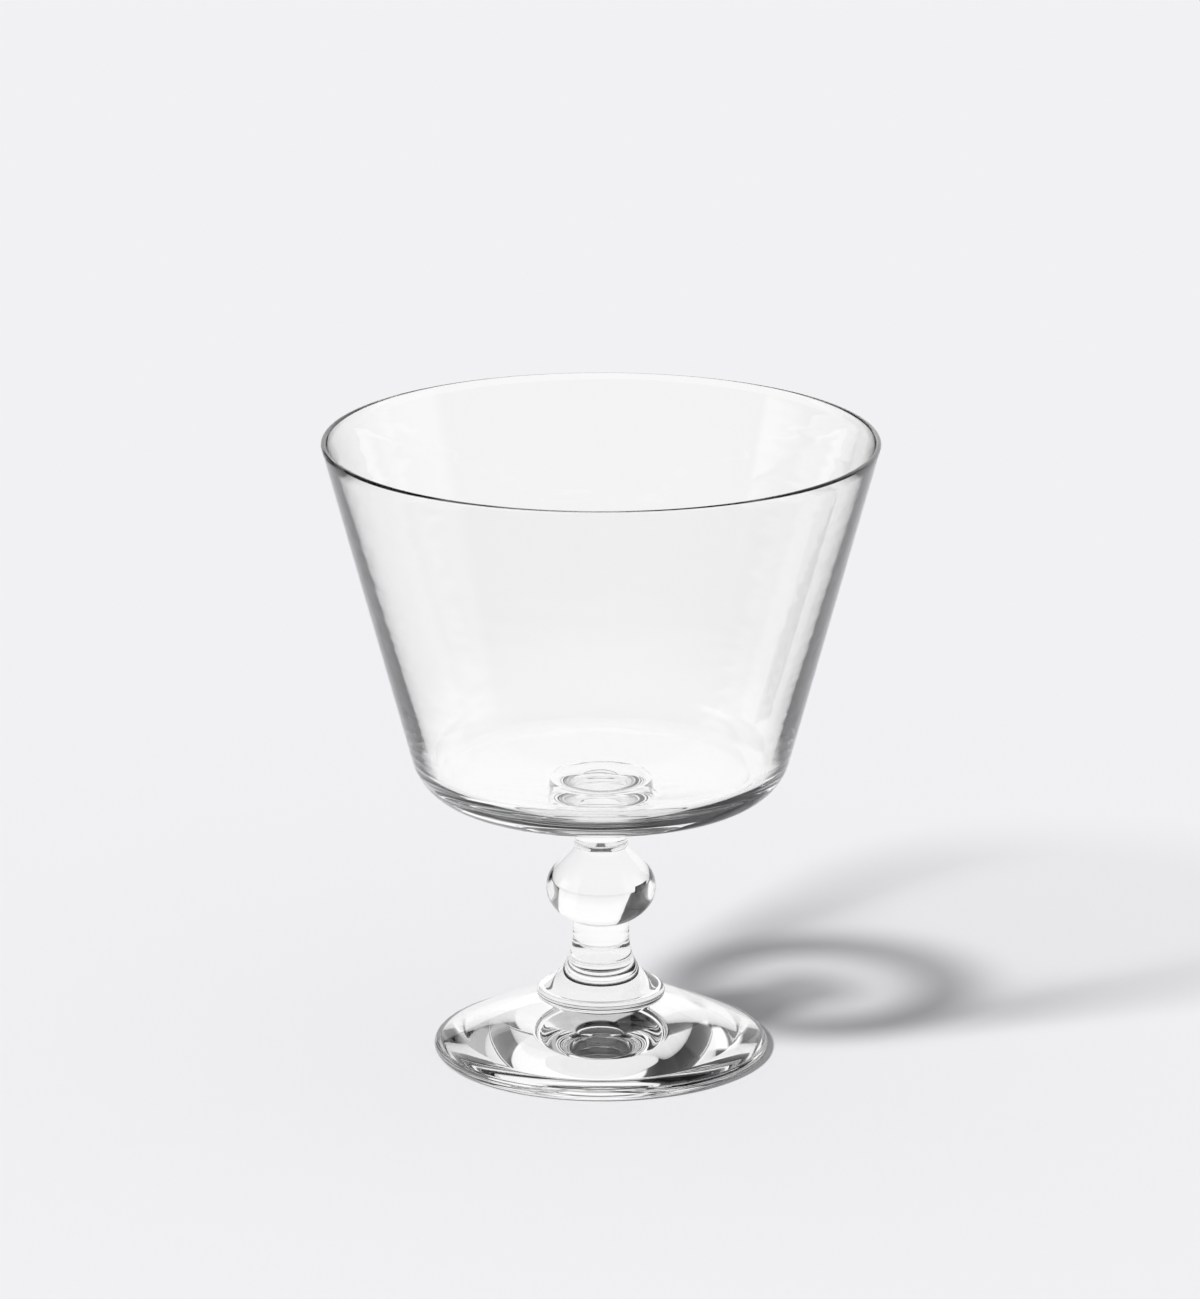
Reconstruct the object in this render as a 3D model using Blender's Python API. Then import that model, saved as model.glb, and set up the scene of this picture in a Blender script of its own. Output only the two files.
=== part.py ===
"""Footed dessert coupe in clear glass: bowl, neck, ball knop, flared stem and foot on one axis.

Units are metres, +Z is up, and the origin is the centre of the resting plane under the foot.
Every piece is a solid of revolution. The pieces stand on each other, fused at flat round seats.
"""
import bmesh
import bpy
from math import acos, atan2, cos, pi, radians, sin, tan
from mathutils import Vector
from mathutils.geometry import interpolate_bezier

# Foot: a low dome, nearly a cone, with a rounded edge, hollowed underneath so that it rests on a ring
FOOT_RADIUS = 0.03346
FOOT_EDGE = 0.0023
FOOT_HEIGHT = 0.0110
FOOT_TOP_SLOPE = radians(17)
FOOT_TOP_REACH = 0.0060
FOOT_BROW_SLOPE = radians(27)
FOOT_BROW_REACH = 0.0070
REST_WIDTH = 0.0060
HOLLOW_DEPTH = 0.0030

# Flared stem: a straight waist above a trumpet that ends in a rounded lip on the foot
LIP_RADIUS = 0.0128
LIP_ROUND = 0.00125
LIP_UNDERCUT = radians(50)
FLARE_HEIGHT = 0.0105
FLARE_COVE_DROP = 0.0072
FLARE_BROW_SPREAD = 0.0015
FLARE_BROW_RISE = 0.0013
WAIST_RADIUS = 0.00565
WAIST_HEIGHT = 0.00295

# Ball knop: a flattened ball whose shoulder rises as a cone to the neck
KNOP_RADIUS = 0.01098
KNOP_HALF_HEIGHT = 0.0079
SHOULDER_LATITUDE = radians(41.7)
SHOULDER_RISE = 0.00295

# Neck: a short spool with a rounded collar at its foot and a wide flange under the bowl
NECK_RADIUS = 0.0050
NECK_HEIGHT = 0.0072
COLLAR_HEIGHT = 0.0012
COLLAR_BULGE = 0.00035
FLANGE_RADIUS = 0.0103
FLANGE_EDGE = 0.0008
NECK_COVE_RISE = 0.0052
FLANGE_COVE_SPREAD = 0.0038

# Bowl: a straight-sided cone with a rounded heel, a dished heavy base and a wall that thins to the rim
BOWL_HEIGHT = 0.07387
RIM_RADIUS = 0.0550
RIM_WALL = 0.0011
HEEL_RADIUS = 0.0356
HEEL_RISE = 0.0017
HEEL_ROUND = 0.0105
BASE_THICKNESS = 0.0060
FLOOR_DISH = 0.0006
FLOOR_WALL = 0.0032
FLOOR_ROUND = 0.0050

# Pieces that touch keep this much room between their seats
SEAT_GAP = 0.0003

# Facets: steps around the axis, along a curved stretch and around a small rounded edge
TURN_STEPS = 48
CURVE_STEPS = 8
EDGE_STEPS = 6
WELD_DISTANCE = 0.00001
CREASE_ANGLE = radians(35)

# Clear soda-lime glass, colourless to the eye and fire polished
GLASS_COLOUR = (0.93, 0.95, 0.95, 1.0)
GLASS_ROUGHNESS = 0.02
GLASS_METALLIC = 0.0
GLASS_IOR = 1.52

# The flared stem stands on the foot on a round seat of this radius
STEM_SEAT_RADIUS = LIP_RADIUS - LIP_ROUND * (1 - cos(LIP_UNDERCUT))


def arc(centre, radius, height, start, end, steps):
    """Points on an upright ellipse with these half axes, between two angles from the horizontal."""
    points = []
    for step in range(steps + 1):
        angle = start + (end - start) * step / steps
        points.append(Vector((centre[0] + radius * cos(angle), centre[1] + height * sin(angle))))
    return points


def fillet(before, corner, after, radius, steps):
    """Points of an arc tangent to the two straight lines that meet at a corner."""
    corner = Vector(corner)
    to_before = (Vector(before) - corner).normalized()
    to_after = (Vector(after) - corner).normalized()
    half_angle = to_before.angle(to_after) / 2
    centre = corner + (to_before + to_after).normalized() * (radius / sin(half_angle))
    first = corner + to_before * (radius / tan(half_angle)) - centre
    last = corner + to_after * (radius / tan(half_angle)) - centre
    start = atan2(first.y, first.x)
    turn = (atan2(last.y, last.x) - start + pi) % (2 * pi) - pi
    return arc(centre, radius, radius, start, start + turn, steps)


def curve(start, start_handle, end_handle, end, steps):
    """Points along one cubic curve between two points, led by their handles."""
    handles = [Vector(point) for point in (start, start_handle, end_handle, end)]
    return interpolate_bezier(*handles, steps + 1)


def dish(edge, centre_height, steps):
    """Points from the edge to the centre of a shallow round dish."""
    radius, edge_height = edge
    rise = centre_height - edge_height
    return curve(edge, (radius * 2 / 3, edge_height + rise * 2 / 3), (radius / 3, centre_height),
                 (0.0, centre_height), steps)


def foot_outline():
    edge = FOOT_EDGE / 2
    brow = FOOT_RADIUS - edge
    top_run = FOOT_TOP_REACH * cos(FOOT_TOP_SLOPE)
    top_drop = FOOT_TOP_REACH * sin(FOOT_TOP_SLOPE)
    brow_run = FOOT_BROW_REACH * cos(FOOT_BROW_SLOPE)
    brow_rise = FOOT_BROW_REACH * sin(FOOT_BROW_SLOPE)
    top = curve((STEM_SEAT_RADIUS, FOOT_HEIGHT), (STEM_SEAT_RADIUS + top_run, FOOT_HEIGHT - top_drop),
                (brow - brow_run, FOOT_EDGE + brow_rise), (brow, FOOT_EDGE), CURVE_STEPS)
    rounded_edge = arc((brow, edge), edge, edge, pi / 2, -pi / 2, EDGE_STEPS)
    underside = dish((brow - REST_WIDTH, 0.0), HOLLOW_DEPTH, CURVE_STEPS)
    return [(0.0, FOOT_HEIGHT)] + top + rounded_edge[1:] + underside


def flare_outline():
    lip_radius = LIP_RADIUS - LIP_ROUND
    lip_height = LIP_ROUND * sin(LIP_UNDERCUT)
    lip_top = lip_height + LIP_ROUND
    waist_foot = lip_top + FLARE_HEIGHT
    waist_top = waist_foot + WAIST_HEIGHT
    trumpet = curve((WAIST_RADIUS, waist_foot), (WAIST_RADIUS, waist_foot - FLARE_COVE_DROP),
                    (lip_radius - FLARE_BROW_SPREAD, lip_top + FLARE_BROW_RISE), (lip_radius, lip_top),
                    CURVE_STEPS)
    rounded_lip = arc((lip_radius, lip_height), LIP_ROUND, LIP_ROUND, pi / 2, -LIP_UNDERCUT, EDGE_STEPS)
    return [(0.0, waist_top), (WAIST_RADIUS, waist_top)] + trumpet + rounded_lip[1:] + [(0.0, 0.0)]


def knop_outline():
    lower_latitude = acos(WAIST_RADIUS / KNOP_RADIUS)
    equator = KNOP_HALF_HEIGHT * sin(lower_latitude)
    ball = arc((0.0, equator), KNOP_RADIUS, KNOP_HALF_HEIGHT, SHOULDER_LATITUDE, -lower_latitude,
               2 * CURVE_STEPS)
    top = ball[0].y + SHOULDER_RISE
    return [(0.0, top), (NECK_RADIUS + COLLAR_BULGE, top)] + ball + [(0.0, 0.0)]


def neck_outline():
    bead = COLLAR_HEIGHT / 2
    flange_foot = COLLAR_HEIGHT + NECK_HEIGHT
    top = flange_foot + FLANGE_EDGE
    cove = curve((FLANGE_RADIUS, flange_foot), (FLANGE_RADIUS - FLANGE_COVE_SPREAD, flange_foot),
                 (NECK_RADIUS, COLLAR_HEIGHT + NECK_COVE_RISE), (NECK_RADIUS, COLLAR_HEIGHT), CURVE_STEPS)
    collar = arc((NECK_RADIUS, bead), COLLAR_BULGE, bead, pi / 2, -pi / 2, EDGE_STEPS)
    return [(0.0, top), (FLANGE_RADIUS, top)] + cove + collar[1:] + [(0.0, 0.0)]


def bowl_outline():
    lip = RIM_WALL / 2
    lip_foot = BOWL_HEIGHT - lip
    heel = (HEEL_RADIUS, HEEL_RISE)
    rim_outside = (RIM_RADIUS, lip_foot)
    rim_inside = (RIM_RADIUS - RIM_WALL, lip_foot)
    wall_slope = (RIM_RADIUS - HEEL_RADIUS) / (lip_foot - HEEL_RISE)
    floor_edge = BASE_THICKNESS + FLOOR_DISH
    outside_at_floor = HEEL_RADIUS + wall_slope * (floor_edge - HEEL_RISE)
    floor_corner = (outside_at_floor - FLOOR_WALL, floor_edge)
    floor_rest = (floor_corner[0] / 2, BASE_THICKNESS)
    seat_edge = (FLANGE_RADIUS, 0.0)
    inside = fillet(floor_rest, floor_corner, rim_inside, FLOOR_ROUND, CURVE_STEPS)
    floor = dish(inside[0], BASE_THICKNESS, CURVE_STEPS)
    rounded_rim = arc((RIM_RADIUS - lip, lip_foot), lip, lip, pi, 0.0, EDGE_STEPS)
    outside = fillet(rim_outside, heel, seat_edge, HEEL_ROUND, CURVE_STEPS)
    return floor[::-1] + inside[1:] + rounded_rim + outside + [seat_edge, (0.0, 0.0)]


def glass_material(piece_name):
    """Clear glass for one piece, as a Principled shader."""
    material = bpy.data.materials.new(piece_name + "_glass")
    material.use_nodes = True
    shader = material.node_tree.nodes["Principled BSDF"]
    shader.inputs["Base Color"].default_value = GLASS_COLOUR
    shader.inputs["Roughness"].default_value = GLASS_ROUGHNESS
    shader.inputs["Metallic"].default_value = GLASS_METALLIC
    shader.inputs["IOR"].default_value = GLASS_IOR
    shader.inputs["Transmission Weight"].default_value = 1.0
    return material


def turned_piece(name, outline, base, parent):
    """A closed solid turned from an outline that runs from the axis, down its outside, to the axis."""
    shape = bmesh.new()
    points = [shape.verts.new((radius, 0.0, height)) for radius, height in outline]
    edges = [shape.edges.new(pair) for pair in zip(points, points[1:])]
    bmesh.ops.spin(shape, geom=points + edges, cent=(0.0, 0.0, 0.0), axis=(0.0, 0.0, 1.0),
                   angle=2 * pi, steps=TURN_STEPS, use_merge=True)
    bmesh.ops.remove_doubles(shape, verts=shape.verts, dist=WELD_DISTANCE)
    bmesh.ops.recalc_face_normals(shape, faces=shape.faces)
    mesh = bpy.data.meshes.new(name)
    shape.to_mesh(mesh)
    shape.free()
    mesh.shade_smooth()
    mesh.set_sharp_from_angle(angle=CREASE_ANGLE)
    mesh.materials.append(glass_material(name))
    piece = bpy.data.objects.new(name, mesh)
    piece.location.z = base
    piece.parent = parent
    bpy.context.scene.collection.objects.link(piece)


def build_coupe():
    for old in list(bpy.data.objects):
        bpy.data.objects.remove(old)
    coupe = bpy.data.objects.new("coupe", None)
    bpy.context.scene.collection.objects.link(coupe)
    stack = [("foot", foot_outline()), ("stem_flare", flare_outline()), ("ball_knop", knop_outline()),
             ("neck", neck_outline()), ("bowl", bowl_outline())]
    base = 0.0
    for name, outline in stack:
        turned_piece(name, outline, base, coupe)
        top_seat_height = outline[0][1]
        base += top_seat_height + SEAT_GAP


build_coupe()
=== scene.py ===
"""Footed dessert coupe in clear, fire-polished soda-lime glass on a pale studio floor."""
import bmesh
import bpy
from collections import namedtuple
from math import acos, cos, pi, radians, sin, tan
from mathutils import Matrix, Vector
from mathutils.geometry import interpolate_bezier


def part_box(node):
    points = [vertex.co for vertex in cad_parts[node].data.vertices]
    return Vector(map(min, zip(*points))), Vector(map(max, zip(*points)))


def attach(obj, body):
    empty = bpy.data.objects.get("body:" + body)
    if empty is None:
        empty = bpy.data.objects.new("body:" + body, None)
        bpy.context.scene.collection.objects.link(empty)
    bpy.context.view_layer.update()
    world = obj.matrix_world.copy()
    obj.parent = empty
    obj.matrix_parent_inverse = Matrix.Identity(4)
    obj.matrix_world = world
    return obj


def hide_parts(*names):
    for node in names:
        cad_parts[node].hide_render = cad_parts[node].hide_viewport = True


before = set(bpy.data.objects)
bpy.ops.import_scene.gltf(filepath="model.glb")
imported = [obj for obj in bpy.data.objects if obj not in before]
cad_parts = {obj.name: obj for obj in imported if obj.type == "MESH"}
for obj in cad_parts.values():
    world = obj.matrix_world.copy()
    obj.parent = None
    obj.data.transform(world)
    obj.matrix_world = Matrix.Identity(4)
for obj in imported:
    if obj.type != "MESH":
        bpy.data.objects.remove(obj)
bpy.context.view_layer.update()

MM = 0.001

# Camera, fitted to the photograph's rim and foot. Its focal length goes with a 36 mm long side of the frame
CAMERA_PLACE = (-0.2 * MM, -1403.9 * MM, 487.8 * MM)
CAMERA_PITCH = 0.28073
CAMERA_LENS = 204.6
CAMERA_SENSOR = 36.0

# Facets: steps around the axis, along a curved stretch and around a small rounded edge
TURN_STEPS = 256
CURVE_STEPS = 36
EDGE_STEPS = 14
WELD_DISTANCE = 0.002 * MM
SEAM_TOLERANCE = 0.005 * MM
CREASE_ANGLE = radians(35)

# Turns that one light path may take inside the glass
GLASS_BOUNCES = 48

# Ripples of the glass: length around the axis, width up the wall and height
RIPPLE_LENGTH = 18.0 * MM
RIPPLE_WIDTH = 3.5 * MM
RIPPLE_HEIGHT = 0.045 * MM

# Shadow of the glass: the share of a lamp's light that passes a face, met squarely and met at a slant
BOWL_SQUARE_SHARE = 0.95
BOWL_SLANT_SHARE = 0.66
STEM_SQUARE_SHARE = 0.38
STEM_SLANT_SHARE = 0.10

# A face counts as slanted between these two, where 0 is square to the light and 1 is along it
SLANT_START = 0.40
SLANT_END = 0.85

# Heel of the bowl, which bends light aside: a shell around a point on the axis, and the share that passes
HEEL_SHELL_CENTRE = (0.0, 0.0, 57 * MM)
HEEL_SHELL_RADIUS = 27 * MM
HEEL_SHELL_REACH = 5 * MM
HEEL_SHARE = 0.42

# Foot
FOOT_EDGE = 2.3 * MM
FOOT_TOP_SLOPE = radians(17)
FOOT_TOP_REACH = 6.0 * MM
FOOT_BROW_SLOPE = radians(27)
FOOT_BROW_REACH = 7.0 * MM
REST_WIDTH = 6.0 * MM
HOLLOW_DEPTH = 3.0 * MM

# Flared stem
LIP_ROUND = 1.25 * MM
LIP_UNDERCUT = radians(50)
FLARE_COVE_DROP = 7.2 * MM
FLARE_BROW_SPREAD = 1.5 * MM
FLARE_BROW_RISE = 1.3 * MM
WAIST_RADIUS = 5.65 * MM
WAIST_HEIGHT = 2.95 * MM

# Ball knop
KNOP_HALF_HEIGHT = 7.9 * MM
SHOULDER_LATITUDE = radians(41.7)

# Neck
NECK_RADIUS = 5.0 * MM
COLLAR_RADIUS = 5.35 * MM
COLLAR_SEAM_RADIUS = 5.2 * MM
COLLAR_HEIGHT = 1.2 * MM
FLANGE_EDGE = 0.8 * MM
NECK_COVE_RISE = 5.2 * MM
FLANGE_COVE_SPREAD = 3.8 * MM

# Bowl, whose floor is the inside of its base
RIM_WALL = 1.1 * MM
HEEL_RADIUS = 35.6 * MM
HEEL_RISE = 1.7 * MM
HEEL_ROUND = 10.5 * MM
BASE_THICKNESS = 6.0 * MM
FLOOR_DISH = 0.6 * MM
FLOOR_WALL = 3.2 * MM
FLOOR_ROUND = 5.0 * MM

# Paper under the coupe: a wide disc, a hair below the foot so that the two never share a face
PAPER_COLOUR = "#F1F1F3"
PAPER_RADIUS = 12000 * MM
PAPER_SIDES = 64
PAPER_DROP = 0.05 * MM

# Paper as the glass shows it: the share of plain white in it, and how bright its painted shade is
WHITE_SHARE = 0.94
PAINTED_SHADE_STRENGTH = 0.04

# Painted shadow: a dark line, seen through the glass, where the foot's edge rests on the paper
FOOT_SHADOW_RADIUS = 33.0 * MM
FOOT_SHADOW_REACH = 1.6 * MM

# The paper is painted dark past here, as painted shade, for light that turned back in a single wall, with
# two faces not four
PAINTED_SHADE_EDGE = (115 * MM, 135 * MM)
ONE_WALL_FACES = 2.0
TWO_WALLS_FACES = 4.0

# Black card, upright at the back left of the coupe
CARD_TURN = radians(39)
CARD_DISTANCE = 420 * MM
CARD_WIDTH = 150 * MM
CARD_THICKNESS = 2 * MM
CARD_HEIGHT = 60 * MM

# What the glass sees around it. A turn is an angle to the right from straight behind the coupe, a rise is
# the sine of the height above the paper, and a strength of 1 is white.
Panel = namedtuple("Panel", "turns rises softness strength")

# Paper sweep with leaning sides, a brighter middle and a dimmer top
SWEEP_TURNS = (radians(-25.6), radians(40.4))
SWEEP_LEAN = -0.37
SWEEP_PANELS = [Panel(turns=SWEEP_TURNS, rises=(0.03, 0.47), softness=0.012, strength=0.90),
                Panel(turns=SWEEP_TURNS, rises=(0.11, 0.47), softness=0.10, strength=0.16),
                Panel(turns=SWEEP_TURNS, rises=(0.47, 0.73), softness=0.012, strength=0.60)]

# Ground all round, with turns and a lowest rise past any that a view can have
GROUND_PANEL = Panel(turns=(-9.0, 9.0), rises=(-2.0, 0.03), softness=0.012, strength=0.90)

# Dim wall and reflector on the right, and a window on the left
RIGHT_WALL_PANEL = Panel(turns=(radians(46), radians(70)), rises=(0.03, 0.60), softness=0.03, strength=0.18)
REFLECTOR_PANEL = Panel(turns=(radians(70), radians(105)), rises=(0.03, 0.60), softness=0.06, strength=0.50)
WINDOW_PANEL = Panel(turns=(radians(-104), radians(-78)), rises=(0.17, 0.52), softness=0.03, strength=1.10)

# Light on the paper: an even fill, and a key light by its strength, width, height and bearing along X and Y
FILL_STRENGTH = 0.34
KEY_STRENGTH = 3.2
KEY_WIDTH = radians(9)
KEY_HEIGHT = radians(43.5)
KEY_BEARING = (-0.76, -0.65)


def linear(hex_colour):
    """An sRGB hex colour as linear RGBA."""
    channels = [int(hex_colour[i:i + 2], 16) / 255 for i in (1, 3, 5)]
    return [c / 12.92 if c <= 0.04045 else ((c + 0.055) / 1.055) ** 2.4 for c in channels] + [1.0]


def add_node(tree, kind, settings=None, links=None):
    """A node with its settings, by socket or property, and links from other nodes' sockets."""
    node = tree.nodes.new(kind)
    for name, value in (settings or {}).items():
        if isinstance(name, int) or name in node.inputs:
            node.inputs[name].default_value = value
        else:
            setattr(node, name, value)
    for name, socket in (links or {}).items():
        tree.links.new(socket, node.inputs[name])
    return node


def new_tree(holder):
    """The empty node tree of a material or a world."""
    holder.use_nodes = True
    tree = holder.node_tree
    tree.nodes.clear()
    return tree


def soda_lime_glass(name, square_share, slant_share, heel_share=None):
    """Clear soda-lime glass, fire polished: colourless and mirror smooth, faintly rippled from the mould.

    The ripples lie flat around the axis, like those that a turning mould leaves. They are too low to
    be seen on the face of the glass and break the dark edges of the wall into soft streaks. On its way
    to a lamp a ray passes straight through and is only weakened, most where real glass would bend it
    aside, so the shadow is pale behind the thin wall and dark behind the heel and the stem.
    """
    material = bpy.data.materials.new(name)
    tree = new_tree(material)
    place = add_node(tree, "ShaderNodeTexCoord")
    stretched = add_node(tree, "ShaderNodeMapping",
                         {"Scale": (1 / RIPPLE_LENGTH, 1 / RIPPLE_LENGTH, 1 / RIPPLE_WIDTH)},
                         {"Vector": place.outputs["Object"]})
    ripples = add_node(tree, "ShaderNodeTexNoise", {"Scale": 1.0, "Detail": 1.0},
                       {"Vector": stretched.outputs[0]})
    relief = add_node(tree, "ShaderNodeBump", {"Strength": 1.0, "Distance": RIPPLE_HEIGHT},
                      {"Height": ripples.outputs[0]})
    glass = add_node(tree, "ShaderNodeBsdfPrincipled", {
        "Base Color": linear("#FEFEFE"), "Roughness": 0.0, "IOR": 1.52, "Transmission Weight": 1.0},
        {"Normal": relief.outputs[0]})
    slant = add_node(tree, "ShaderNodeLayerWeight", {"Blend": 0.5})
    passed = add_node(tree, "ShaderNodeMapRange", {
        "From Min": SLANT_START, "From Max": SLANT_END, "To Min": square_share, "To Max": slant_share},
        {"Value": slant.outputs["Facing"]})
    if heel_share is not None:
        from_centre = add_node(tree, "ShaderNodeVectorMath", {"operation": "DISTANCE", 1: HEEL_SHELL_CENTRE},
                               {0: place.outputs["Object"]})
        at_heel = add_node(tree, "ShaderNodeMath",
                           {"operation": "COMPARE", 1: HEEL_SHELL_RADIUS, 2: HEEL_SHELL_REACH},
                           {0: from_centre.outputs["Value"]})
        unbent = add_node(tree, "ShaderNodeMapRange", {"To Min": 1.0, "To Max": heel_share},
                          {"Value": at_heel.outputs[0]})
        passed = add_node(tree, "ShaderNodeMath", {"operation": "MULTIPLY"},
                          {0: passed.outputs[0], 1: unbent.outputs[0]})
    clear = add_node(tree, "ShaderNodeBsdfTransparent", links={"Color": passed.outputs[0]})
    path = add_node(tree, "ShaderNodeLightPath")
    shown = add_node(tree, "ShaderNodeMixShader", links={
        "Fac": path.outputs["Is Shadow Ray"], 1: glass.outputs[0], 2: clear.outputs[0]})
    add_node(tree, "ShaderNodeOutputMaterial", links={"Surface": shown.outputs[0]})
    return material


def fused_seam():
    """The face where two gathers of glass are fused: light crosses it as if it were not there."""
    material = bpy.data.materials.new("fused_glass_seam")
    tree = new_tree(material)
    clear = add_node(tree, "ShaderNodeBsdfTransparent", {"Color": linear("#FFFFFF")})
    add_node(tree, "ShaderNodeOutputMaterial", links={"Surface": clear.outputs[0]})
    return material


def arc(centre, radius, height, start, end, steps):
    """Points on an upright ellipse with these half axes, between two angles from the horizontal."""
    points = []
    for step in range(steps + 1):
        angle = start + (end - start) * step / steps
        points.append(Vector((centre[0] + radius * cos(angle), centre[1] + height * sin(angle))))
    return points


def fillet(before, corner, after, radius, steps):
    """Points of an arc tangent to the two straight lines that meet at a corner."""
    corner = Vector(corner)
    to_before = (Vector(before) - corner).normalized()
    to_after = (Vector(after) - corner).normalized()
    half_angle = to_before.angle(to_after) / 2
    centre = corner + (to_before + to_after).normalized() * (radius / sin(half_angle))
    first = corner + to_before * (radius / tan(half_angle)) - centre
    last = corner + to_after * (radius / tan(half_angle)) - centre
    start = first.angle_signed(Vector((1.0, 0.0)))
    turn = (last.angle_signed(Vector((1.0, 0.0))) - start + pi) % (2 * pi) - pi
    return arc(centre, radius, radius, start, start + turn, steps)


def curve(start, start_handle, end_handle, end, steps):
    """Points along one cubic curve between two points, led by their handles."""
    handles = [Vector(point) for point in (start, start_handle, end_handle, end)]
    return interpolate_bezier(*handles, steps + 1)


def dish(edge, centre_height, steps):
    """Points from the edge to the centre of a shallow round dish."""
    radius, edge_height = edge
    rise = centre_height - edge_height
    return curve(edge, (radius * 2 / 3, edge_height + rise * 2 / 3), (radius / 3, centre_height),
                 (0.0, centre_height), steps)


def straight(start, end, steps):
    """Points along a straight line, without its start."""
    return [Vector(start).lerp(Vector(end), (step + 1) / steps) for step in range(steps)]


def turned_piece(name, node, outline, seams, finishes):
    """A closed solid turned from an outline. Faces at the height of a seam take the second finish."""
    shape = bmesh.new()
    points = [shape.verts.new((radius, 0.0, height)) for radius, height in outline]
    edges = [shape.edges.new(pair) for pair in zip(points, points[1:])]
    bmesh.ops.spin(shape, geom=points + edges, cent=(0.0, 0.0, 0.0), axis=(0.0, 0.0, 1.0),
                   angle=2 * pi, steps=TURN_STEPS, use_merge=True)
    bmesh.ops.remove_doubles(shape, verts=shape.verts, dist=WELD_DISTANCE)
    bmesh.ops.recalc_face_normals(shape, faces=shape.faces)
    for face in shape.faces:
        face.smooth = True
        for seam in seams:
            if all(abs(v.co.z - seam) < SEAM_TOLERANCE for v in face.verts):
                face.material_index = 1
                face.smooth = False
    mesh = bpy.data.meshes.new(name)
    shape.to_mesh(mesh)
    shape.free()
    for finish in finishes:
        mesh.materials.append(finish)
    mesh.set_sharp_from_angle(angle=CREASE_ANGLE)
    piece = bpy.data.objects.new(name, mesh)
    bpy.context.scene.collection.objects.link(piece)
    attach(piece, "root")
    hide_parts(node)


def seam_between(lower, upper):
    """The height where two stacked pieces are fused, in the middle of the gap between their solids."""
    return (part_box(lower)[1].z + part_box(upper)[0].z) / 2


FOOT_SEAM = seam_between("foot", "stem_flare")
WAIST_SEAM = seam_between("stem_flare", "ball_knop")
COLLAR_SEAM = seam_between("ball_knop", "neck")
FLANGE_SEAM = seam_between("neck", "bowl")
LIP_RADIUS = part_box("stem_flare")[1].x
LIP_SEAT = LIP_RADIUS - LIP_ROUND * (1 - cos(LIP_UNDERCUT))
FLANGE_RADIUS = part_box("neck")[1].x


def foot_outline():
    """A low dome with a rounded edge, hollowed underneath so that it rests on a ring."""
    edge = FOOT_EDGE / 2
    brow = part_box("foot")[1].x - edge
    top_run = FOOT_TOP_REACH * cos(FOOT_TOP_SLOPE)
    top_drop = FOOT_TOP_REACH * sin(FOOT_TOP_SLOPE)
    brow_run = FOOT_BROW_REACH * cos(FOOT_BROW_SLOPE)
    brow_rise = FOOT_BROW_REACH * sin(FOOT_BROW_SLOPE)
    top = curve((LIP_SEAT, FOOT_SEAM), (LIP_SEAT + top_run, FOOT_SEAM - top_drop),
                (brow - brow_run, FOOT_EDGE + brow_rise), (brow, FOOT_EDGE), CURVE_STEPS)
    rounded_edge = arc((brow, edge), edge, edge, pi / 2, -pi / 2, EDGE_STEPS)
    underside = dish((brow - REST_WIDTH, 0.0), HOLLOW_DEPTH, CURVE_STEPS)
    return [(0.0, FOOT_SEAM)] + top + rounded_edge[1:] + underside


def flare_outline():
    """A straight waist above a trumpet that ends in a rounded lip on the foot."""
    lip_centre = (LIP_RADIUS - LIP_ROUND, FOOT_SEAM + LIP_ROUND * sin(LIP_UNDERCUT))
    lip_top = lip_centre[1] + LIP_ROUND
    waist_foot = WAIST_SEAM - WAIST_HEIGHT
    trumpet = curve((WAIST_RADIUS, waist_foot), (WAIST_RADIUS, waist_foot - FLARE_COVE_DROP),
                    (lip_centre[0] - FLARE_BROW_SPREAD, lip_top + FLARE_BROW_RISE),
                    (lip_centre[0], lip_top), CURVE_STEPS)
    rounded_lip = arc(lip_centre, LIP_ROUND, LIP_ROUND, pi / 2, -LIP_UNDERCUT, EDGE_STEPS)
    return [(0.0, WAIST_SEAM), (WAIST_RADIUS, WAIST_SEAM)] + trumpet + rounded_lip[1:] + [(0.0, FOOT_SEAM)]


def knop_outline():
    """A flattened ball whose shoulder rises as a cone to the neck."""
    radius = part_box("ball_knop")[1].x
    lower_latitude = acos(WAIST_RADIUS / radius)
    equator = WAIST_SEAM + KNOP_HALF_HEIGHT * sin(lower_latitude)
    ball = arc((0.0, equator), radius, KNOP_HALF_HEIGHT, SHOULDER_LATITUDE, -lower_latitude, 2 * CURVE_STEPS)
    shoulder = straight((COLLAR_SEAM_RADIUS, COLLAR_SEAM), ball[0], EDGE_STEPS)
    top = [(0.0, COLLAR_SEAM), (COLLAR_SEAM_RADIUS, COLLAR_SEAM)]
    return top + shoulder[:-1] + ball + [(0.0, WAIST_SEAM)]


def neck_outline():
    """A short spool with a rounded collar at its foot and a wide flange under the bowl."""
    bead = COLLAR_HEIGHT / 2
    collar_top = COLLAR_SEAM + COLLAR_HEIGHT
    flange_foot = FLANGE_SEAM - FLANGE_EDGE
    cove = curve((FLANGE_RADIUS, flange_foot), (FLANGE_RADIUS - FLANGE_COVE_SPREAD, flange_foot),
                 (NECK_RADIUS, collar_top + NECK_COVE_RISE), (NECK_RADIUS, collar_top), CURVE_STEPS)
    collar = arc((COLLAR_SEAM_RADIUS, COLLAR_SEAM + bead), COLLAR_RADIUS - COLLAR_SEAM_RADIUS, bead,
                 pi / 2, -pi / 2, EDGE_STEPS)
    return [(0.0, FLANGE_SEAM), (FLANGE_RADIUS, FLANGE_SEAM)] + cove + collar + [(0.0, COLLAR_SEAM)]


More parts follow.
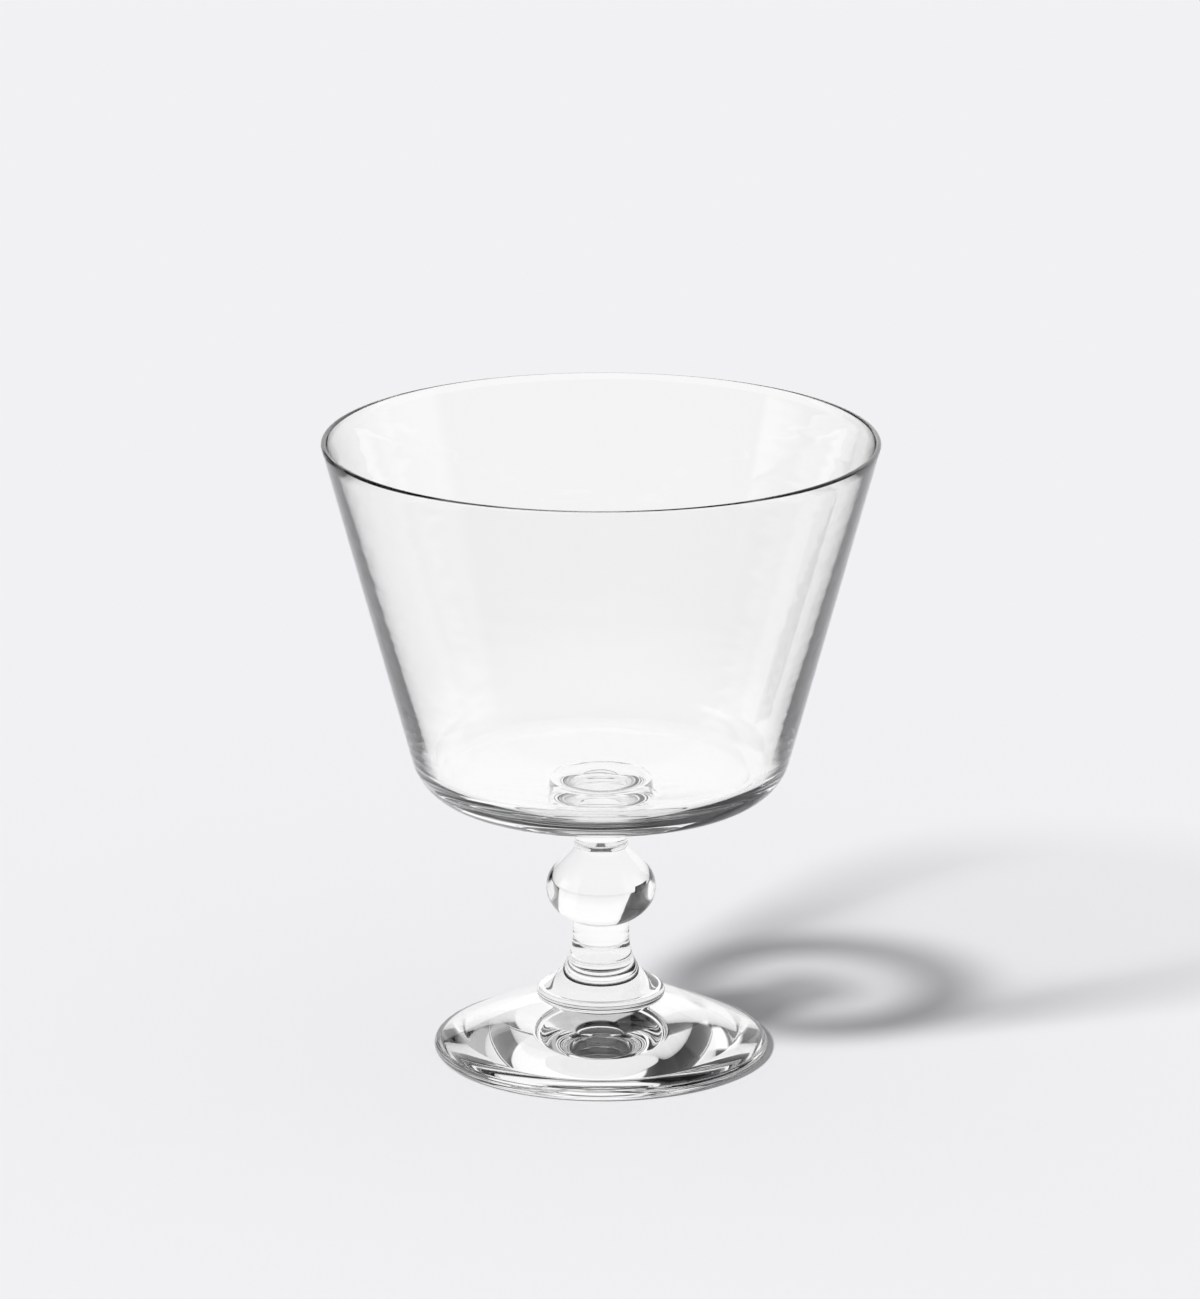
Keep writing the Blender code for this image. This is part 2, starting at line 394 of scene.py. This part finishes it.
def bowl_outline():
    """A straight-sided cone with a dished heavy base, a rounded heel and a wall that thins to the rim."""
    lip = RIM_WALL / 2
    low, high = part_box("bowl")
    lip_foot = high.z - lip
    heel = (HEEL_RADIUS, low.z + HEEL_RISE)
    rim_outside = (high.x, lip_foot)
    rim_inside = (high.x - RIM_WALL, lip_foot)
    wall_slope = (high.x - HEEL_RADIUS) / (lip_foot - heel[1])
    floor_edge = low.z + BASE_THICKNESS + FLOOR_DISH
    floor_corner = (HEEL_RADIUS + wall_slope * (floor_edge - heel[1]) - FLOOR_WALL, floor_edge)
    floor_tangent = (floor_corner[0] / 2, low.z + BASE_THICKNESS)
    seat_edge = (FLANGE_RADIUS, FLANGE_SEAM)
    inside = fillet(floor_tangent, floor_corner, rim_inside, FLOOR_ROUND, CURVE_STEPS)
    floor = dish(inside[0], low.z + BASE_THICKNESS, CURVE_STEPS)
    floor.reverse()
    inner_wall = straight(inside[-1], rim_inside, CURVE_STEPS)[:-1]
    rounded_rim = arc((high.x - lip, lip_foot), lip, lip, pi, 0.0, EDGE_STEPS)
    outside = fillet(rim_outside, heel, seat_edge, HEEL_ROUND, CURVE_STEPS)
    outer_wall = straight(rim_outside, outside[0], CURVE_STEPS)[:-1]
    underside = straight(outside[-1], seat_edge, EDGE_STEPS)
    return (floor + inside[1:] + inner_wall + rounded_rim + outer_wall + outside + underside
            + [(0.0, FLANGE_SEAM)])


def coupe():
    """The five gathers of glass that are fused into the coupe, from the foot up."""
    seam = fused_seam()
    thin = [soda_lime_glass("clear_soda_lime_glass", BOWL_SQUARE_SHARE, BOWL_SLANT_SHARE, HEEL_SHARE), seam]
    solid = [soda_lime_glass("clear_soda_lime_glass_solid", STEM_SQUARE_SHARE, STEM_SLANT_SHARE), seam]
    turned_piece("glass_foot", "foot", foot_outline(), [FOOT_SEAM], solid)
    turned_piece("glass_stem_flare", "stem_flare", flare_outline(), [WAIST_SEAM, FOOT_SEAM], solid)
    turned_piece("glass_ball_knop", "ball_knop", knop_outline(), [COLLAR_SEAM, WAIST_SEAM], solid)
    turned_piece("glass_neck", "neck", neck_outline(), [FLANGE_SEAM, COLLAR_SEAM], solid)
    turned_piece("glass_bowl", "bowl", bowl_outline(), [FLANGE_SEAM], thin)


def matt_white_paper():
    """Matt white paper, uncoated: it takes the shadow softly, without gloss.

    Through the glass it is plain white, so that the coupe looks clear. Two places in it are painted dark
    there. One is a painted shadow line under the foot's edge. The other is painted shade past the edge of
    the lit paper, only for light that turned back in a single wall, and gives the bowl a dark band at each
    side.
    """
    material = bpy.data.materials.new("matt_white_paper")
    tree = new_tree(material)
    paper = add_node(tree, "ShaderNodeBsdfDiffuse", {"Color": linear(PAPER_COLOUR)})
    path = add_node(tree, "ShaderNodeLightPath")
    place = add_node(tree, "ShaderNodeTexCoord")
    distance = add_node(tree, "ShaderNodeVectorMath", {"operation": "LENGTH"}, {0: place.outputs["Object"]})
    # Painted shade: past the edge the paper is dark for light that turned back in a single wall, darkening
    # the bowl's sides
    outer = add_node(tree, "ShaderNodeMapRange",
                     {"From Min": PAINTED_SHADE_EDGE[0], "From Max": PAINTED_SHADE_EDGE[1]},
                     {"Value": distance.outputs["Value"]})
    turned_back = add_node(tree, "ShaderNodeMapRange", links={"Value": path.outputs["Glossy Depth"]})
    one_wall = add_node(tree, "ShaderNodeMapRange", {
        "From Min": ONE_WALL_FACES, "From Max": TWO_WALLS_FACES, "To Min": 1.0, "To Max": 0.0},
        {"Value": path.outputs["Transmission Depth"]})
    in_wall = add_node(tree, "ShaderNodeMath", {"operation": "MULTIPLY"},
                       {0: turned_back.outputs[0], 1: one_wall.outputs[0]})
    painted_dark_past_edge = add_node(tree, "ShaderNodeMath", {"operation": "MULTIPLY"},
                         {0: outer.outputs[0], 1: in_wall.outputs[0]})
    # Painted shadow: a dark ring on the paper under the foot's edge, seen only through the glass
    painted_foot_shadow = add_node(tree, "ShaderNodeMath",
                       {"operation": "COMPARE", 1: FOOT_SHADOW_RADIUS, 2: FOOT_SHADOW_REACH},
                       {0: distance.outputs["Value"]})
    # Both painted shades together, which dim the white that the glass shows
    dark = add_node(tree, "ShaderNodeMath", {"operation": "MAXIMUM"},
                    {0: painted_dark_past_edge.outputs[0], 1: painted_foot_shadow.outputs[0]})
    strength = add_node(tree, "ShaderNodeMapRange", {"To Min": 1.0, "To Max": PAINTED_SHADE_STRENGTH},
                        {"Value": dark.outputs[0]})
    white = add_node(tree, "ShaderNodeEmission", {"Color": linear("#FFFFFF")},
                     {"Strength": strength.outputs[0]})
    share = add_node(tree, "ShaderNodeMapRange", {"To Max": WHITE_SHARE},
                     {"Value": path.outputs["Is Transmission Ray"]})
    shown = add_node(tree, "ShaderNodeMixShader", links={
        "Fac": share.outputs[0], 1: paper.outputs[0], 2: white.outputs[0]})
    add_node(tree, "ShaderNodeOutputMaterial", links={"Surface": shown.outputs[0]})
    material.cycles.emission_sampling = "NONE"
    return material


def studio_floor():
    """A wide disc of white paper under the coupe."""
    shape = bmesh.new()
    bmesh.ops.create_circle(shape, cap_ends=True, segments=PAPER_SIDES, radius=PAPER_RADIUS)
    bmesh.ops.translate(shape, verts=shape.verts, vec=(0.0, 0.0, -PAPER_DROP))
    mesh = bpy.data.meshes.new("studio_floor")
    shape.to_mesh(mesh)
    shape.free()
    mesh.materials.append(matt_white_paper())
    floor = bpy.data.objects.new("studio_floor", mesh)
    bpy.context.scene.collection.objects.link(floor)


def matt_black_board():
    """Matt black board: a deep, even black without gloss."""
    material = bpy.data.materials.new("matt_black_board")
    tree = new_tree(material)
    board = add_node(tree, "ShaderNodeBsdfDiffuse", {"Color": linear("#101011")})
    add_node(tree, "ShaderNodeOutputMaterial", links={"Surface": board.outputs[0]})
    return material


def black_card():
    """A black card at the back left, out of the picture, which gives the knop and the foot a dark side."""
    shape = bmesh.new()
    size = Matrix.Diagonal((CARD_WIDTH, CARD_THICKNESS, CARD_HEIGHT, 1.0))
    upright = Matrix.Translation((0.0, CARD_DISTANCE, CARD_HEIGHT / 2)) @ size
    bmesh.ops.create_cube(shape, size=1.0, matrix=Matrix.Rotation(CARD_TURN, 4, "Z") @ upright)
    mesh = bpy.data.meshes.new("black_card")
    shape.to_mesh(mesh)
    shape.free()
    mesh.materials.append(matt_black_board())
    card = bpy.data.objects.new("black_card", mesh)
    bpy.context.scene.collection.objects.link(card)
    card.visible_camera = False
    card.visible_diffuse = False
    card.visible_shadow = False


def lit_panel(tree, turn, rise, panel):
    """The light of one soft-edged panel of the studio, dimmed past each of its four edges in turn."""
    soft = panel.softness
    edges = ((turn, panel.turns[0], soft), (turn, panel.turns[1], -soft),
             (rise, panel.rises[0], soft), (rise, panel.rises[1], -soft))
    light = None
    for way, edge, slope in edges:
        reach = {"From Min": edge - slope, "From Max": edge + slope, "To Max": panel.strength}
        links = {"Value": way} if light is None else {"Value": way, "To Max": light}
        light = add_node(tree, "ShaderNodeMapRange", reach, links).outputs[0]
    return light


def studio_surroundings(tree):
    """A dark room with a paper sweep behind the coupe, a reflector on the right and a window on the left."""
    way = add_node(tree, "ShaderNodeTexCoord")
    along = add_node(tree, "ShaderNodeSeparateXYZ", links={"Vector": way.outputs["Generated"]})
    rise = along.outputs["Z"]
    turn = add_node(tree, "ShaderNodeMath", {"operation": "ARCTAN2"},
                    {0: along.outputs["X"], 1: along.outputs["Y"]}).outputs[0]
    leaning = add_node(tree, "ShaderNodeMath", {"operation": "MULTIPLY_ADD", 1: SWEEP_LEAN},
                       {0: rise, 2: turn}).outputs[0]
    light = lit_panel(tree, turn, rise, GROUND_PANEL)
    others = [lit_panel(tree, leaning, rise, panel) for panel in SWEEP_PANELS]
    for panel in (RIGHT_WALL_PANEL, REFLECTOR_PANEL, WINDOW_PANEL):
        others.append(lit_panel(tree, turn, rise, panel))
    for other in others:
        light = add_node(tree, "ShaderNodeMath", {"operation": "ADD"}, {0: light, 1: other}).outputs[0]
    room = add_node(tree, "ShaderNodeBackground", {"Color": linear("#161718")})
    lit = add_node(tree, "ShaderNodeBackground", {"Color": linear("#FFFFFF")}, {"Strength": light})
    return add_node(tree, "ShaderNodeAddShader", links={0: room.outputs[0], 1: lit.outputs[0]}).outputs[0]


def studio_world():
    """An even fill and a plain pale backdrop. The glass sees the studio's surroundings instead."""
    world = bpy.data.worlds.new("studio")
    bpy.context.scene.world = world
    tree = new_tree(world)
    around = studio_surroundings(tree)
    path = add_node(tree, "ShaderNodeLightPath")
    in_glass = add_node(tree, "ShaderNodeMath", {"operation": "MAXIMUM"},
                        {0: path.outputs["Is Glossy Ray"], 1: path.outputs["Is Transmission Ray"]})
    fill = add_node(tree, "ShaderNodeBackground", {"Color": linear(PAPER_COLOUR), "Strength": FILL_STRENGTH})
    backdrop = add_node(tree, "ShaderNodeBackground", {"Color": linear(PAPER_COLOUR)})
    plain = add_node(tree, "ShaderNodeMixShader", links={
        "Fac": path.outputs["Is Camera Ray"], 1: fill.outputs[0], 2: backdrop.outputs[0]})
    shown = add_node(tree, "ShaderNodeMixShader", links={
        "Fac": in_glass.outputs[0], 1: plain.outputs[0], 2: around})
    add_node(tree, "ShaderNodeOutputWorld", links={"Surface": shown.outputs[0]})


def key_light():
    """A soft key light from the front left, which throws the shadow. The glass doesn't show it."""
    key = bpy.data.lights.new("key_light", "SUN")
    key.energy = KEY_STRENGTH
    key.angle = KEY_WIDTH
    lamp = bpy.data.objects.new("key_light", key)
    lamp.rotation_mode = "QUATERNION"
    level = cos(KEY_HEIGHT)
    to_light = Vector((KEY_BEARING[0] * level, KEY_BEARING[1] * level, sin(KEY_HEIGHT)))
    lamp.rotation_quaternion = to_light.to_track_quat("Z", "Y")
    lamp.visible_glossy = False
    lamp.visible_transmission = False
    bpy.context.scene.collection.objects.link(lamp)


def camera():
    """The photograph's camera, in front of the coupe and looking a little down on it."""
    lens = bpy.data.cameras.new("camera")
    lens.lens = CAMERA_LENS
    lens.sensor_width = CAMERA_SENSOR
    view = bpy.data.objects.new("camera", lens)
    view.location = CAMERA_PLACE
    view.rotation_euler = (pi / 2 - CAMERA_PITCH, 0.0, 0.0)
    bpy.context.scene.collection.objects.link(view)
    bpy.context.scene.camera = view


bpy.context.scene.view_settings.view_transform = "Standard"
# Light runs along inside the thick glass by many inner reflections before it comes out again
bpy.context.scene.cycles.max_bounces = GLASS_BOUNCES
bpy.context.scene.cycles.glossy_bounces = GLASS_BOUNCES
bpy.context.scene.cycles.transmission_bounces = GLASS_BOUNCES
bpy.context.scene.cycles.transparent_max_bounces = GLASS_BOUNCES
camera()
coupe()
studio_floor()
black_card()
studio_world()
key_light()
